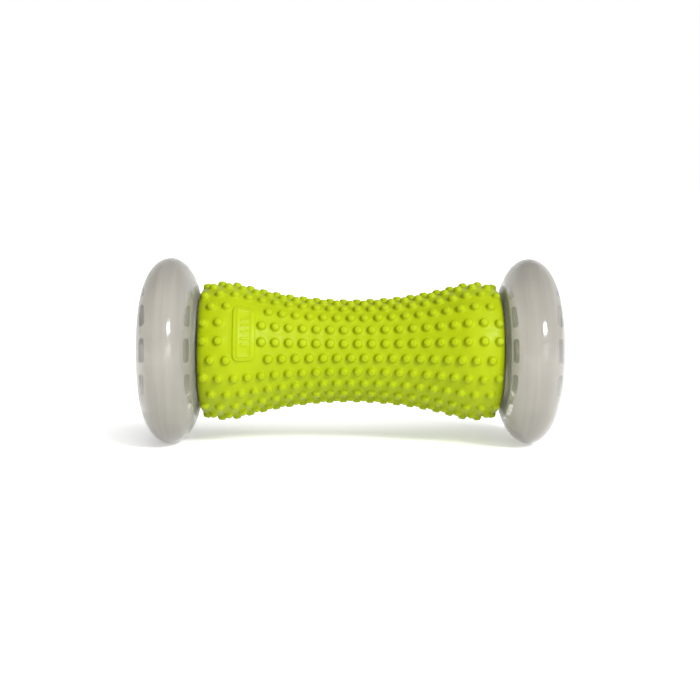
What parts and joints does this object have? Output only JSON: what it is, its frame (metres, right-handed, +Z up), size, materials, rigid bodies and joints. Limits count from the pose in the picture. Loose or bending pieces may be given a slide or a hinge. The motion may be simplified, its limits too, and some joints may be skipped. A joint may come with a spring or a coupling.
{
  "type": "foot massage roller",
  "caption": "Studded hourglass rubber roller on a steel axle between two free-spinning translucent skate-type wheels.",
  "frame": {"origin": "on the floor that the two tyres stand on, under the middle of the axle", "axes": "+X along the axle from the left wheel to the right wheel, +Z up, -Y towards the user's side with the smooth badge patch"},
  "size_m": [0.1618, 0.0718, 0.0717],
  "materials": {
    "sleeve_rubber": "matte, soft, lime green",
    "tyre_urethane": "glossy, translucent smoky white urethane",
    "hub_nylon": "satin moulded nylon, natural",
    "cap_plastic": "smooth moulded plastic, natural",
    "core_plastic": "textured ABS, lime",
    "steel": "bright turned steel"
  },
  "bodies": {
    "roller_body": {"massage_sleeve": "sleeve_rubber", "core_shell_upper": "core_plastic", "core_shell_lower": "core_plastic", "axle": "steel", "left_end_plug": "core_plastic", "left_axle_collar": "steel", "left_bearing_spacer": "steel", "left_inner_bearing_inner_race": "steel", "left_outer_bearing_inner_race": "steel", "left_axle_washer": "steel", "left_axle_screw": "steel", "right_end_plug": "core_plastic", "right_axle_collar": "steel", "right_bearing_spacer": "steel", "right_inner_bearing_inner_race": "steel", "right_outer_bearing_inner_race": "steel", "right_axle_washer": "steel", "right_axle_screw": "steel"},
    "left_wheel": {"left_tyre": "tyre_urethane", "left_hub": "hub_nylon", "left_hub_cap": "cap_plastic", "left_inner_bearing_outer_race": "steel", "left_outer_bearing_outer_race": "steel"},
    "left_inner_bearing_balls": {"left_inner_bearing_ball_cage": "steel"},
    "left_outer_bearing_balls": {"left_outer_bearing_ball_cage": "steel"},
    "right_wheel": {"right_tyre": "tyre_urethane", "right_hub": "hub_nylon", "right_hub_cap": "cap_plastic", "right_inner_bearing_outer_race": "steel", "right_outer_bearing_outer_race": "steel"},
    "right_inner_bearing_balls": {"right_inner_bearing_ball_cage": "steel"},
    "right_outer_bearing_balls": {"right_outer_bearing_ball_cage": "steel"}
  },
  "joints": [
    {"name": "left_wheel_spin", "type": "hinge", "parent": "roller_body", "child": "left_wheel", "pos_m": [-0.0691, 0, 0.03586], "axis": [1, 0, 0], "continuous": true},
    {"name": "left_inner_bearing_balls_spin", "type": "hinge", "parent": "roller_body", "child": "left_inner_bearing_balls", "pos_m": [-0.06235, 0, 0.03586], "axis": [1, 0, 0], "continuous": true},
    {"name": "left_outer_bearing_balls_spin", "type": "hinge", "parent": "roller_body", "child": "left_outer_bearing_balls", "pos_m": [-0.07185, 0, 0.03586], "axis": [1, 0, 0], "continuous": true},
    {"name": "right_wheel_spin", "type": "hinge", "parent": "roller_body", "child": "right_wheel", "pos_m": [0.0691, 0, 0.03586], "axis": [1, 0, 0], "continuous": true},
    {"name": "right_inner_bearing_balls_spin", "type": "hinge", "parent": "roller_body", "child": "right_inner_bearing_balls", "pos_m": [0.06235, 0, 0.03586], "axis": [1, 0, 0], "continuous": true},
    {"name": "right_outer_bearing_balls_spin", "type": "hinge", "parent": "roller_body", "child": "right_outer_bearing_balls", "pos_m": [0.07185, 0, 0.03586], "axis": [1, 0, 0], "continuous": true}
  ],
  "couplings": [
    {"joint": "left_inner_bearing_balls_spin", "follows": "left_wheel_spin", "ratio": 0.632},
    {"joint": "left_outer_bearing_balls_spin", "follows": "left_wheel_spin", "ratio": 0.632},
    {"joint": "right_inner_bearing_balls_spin", "follows": "right_wheel_spin", "ratio": 0.632},
    {"joint": "right_outer_bearing_balls_spin", "follows": "right_wheel_spin", "ratio": 0.632}
  ]
}
